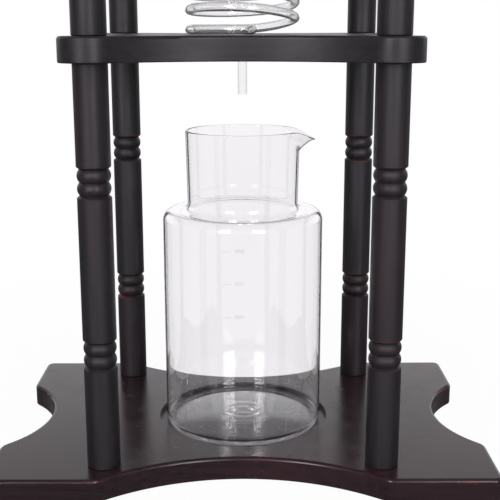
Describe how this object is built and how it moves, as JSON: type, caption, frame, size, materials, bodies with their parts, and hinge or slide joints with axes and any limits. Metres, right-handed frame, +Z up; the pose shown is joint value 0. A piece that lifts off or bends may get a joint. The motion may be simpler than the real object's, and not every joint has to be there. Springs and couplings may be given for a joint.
{
  "type": "cold drip coffee tower",
  "caption": "Tall wooden stand of turned posts and shelves holding a glass water globe with drip valve, a glass brewer, a glass cooling coil and a glass carafe.",
  "frame": {"origin": "on the table under the middle of the base board, level with the feet's undersides", "axes": "+Z up, front towards -Y, carafe's beak towards +X"},
  "size_m": [0.4232, 0.285, 1.2586],
  "materials": {
    "stained_wood": "satin, near black stain rubbed through to reddish brown",
    "clear_glass": "clear borosilicate",
    "stainless": "brushed",
    "zinc_steel": "bright zinc",
    "brass_insert": "plain",
    "black_rubber": "matt",
    "silicone": "translucent white",
    "ceramic": "unglazed"
  },
  "bodies": {
    "stand": {"base_plate": "stained_wood", "rubber_feet": "black_rubber", "foot_screws": "zinc_steel", "base_bolts": "zinc_steel", "base_washers": "zinc_steel", "post_inserts": "brass_insert", "shelf_studs": "zinc_steel", "shelf_lower": "stained_wood", "shelf_middle": "stained_wood", "shelf_top": "stained_wood", "post_lower_front_left": "stained_wood", "post_lower_front_right": "stained_wood", "post_lower_back_left": "stained_wood", "post_lower_back_right": "stained_wood", "post_middle_front_left": "stained_wood", "post_middle_front_right": "stained_wood", "post_middle_back_left": "stained_wood", "post_middle_back_right": "stained_wood", "post_upper_front_left": "stained_wood", "post_upper_front_right": "stained_wood", "post_upper_back_left": "stained_wood", "post_upper_back_right": "stained_wood", "finial_front_left": "stained_wood", "finial_front_right": "stained_wood", "finial_back_left": "stained_wood", "finial_back_right": "stained_wood"},
    "carafe_body": {"carafe": "clear_glass"},
    "coil_body": {"drip_coil": "clear_glass"},
    "brewer_body": {"brewer": "clear_glass", "filter_plate": "ceramic", "filter_seal": "silicone"},
    "globe_body": {"water_globe": "clear_glass", "inner_washer": "black_rubber", "outer_washer": "black_rubber", "valve_nut": "stainless", "valve_body": "stainless", "valve_gland": "stainless", "valve_packing": "silicone"},
    "lid_body": {"globe_lid": "stained_wood", "lid_knob": "stained_wood", "lid_screw": "zinc_steel"},
    "needle_body": {"valve_spindle": "stainless", "valve_knob": "stainless", "knob_screw": "stainless"}
  },
  "joints": [
    {"name": "carafe_out", "type": "slide", "parent": "stand", "child": "carafe_body", "axis": [0, -0.9397, 0.342], "range_m": [0, 0.24]},
    {"name": "coil_lift", "type": "slide", "parent": "stand", "child": "coil_body", "axis": [0, 0, 1], "range_m": [0, 0.06]},
    {"name": "brewer_lift", "type": "slide", "parent": "stand", "child": "brewer_body", "axis": [0, 0, 1], "range_m": [0, 0.066]},
    {"name": "globe_lift", "type": "slide", "parent": "stand", "child": "globe_body", "axis": [0, 0, 1], "range_m": [0, 0.125]},
    {"name": "lid_lift", "type": "slide", "parent": "globe_body", "child": "lid_body", "axis": [0, 0, 1], "range_m": [0, 0.05]},
    {"name": "valve_turn", "type": "hinge", "parent": "globe_body", "child": "needle_body", "pos_m": [0, 0, 1.0249], "axis": [0, -1, 0], "range_deg": [0, 270]}
  ]
}
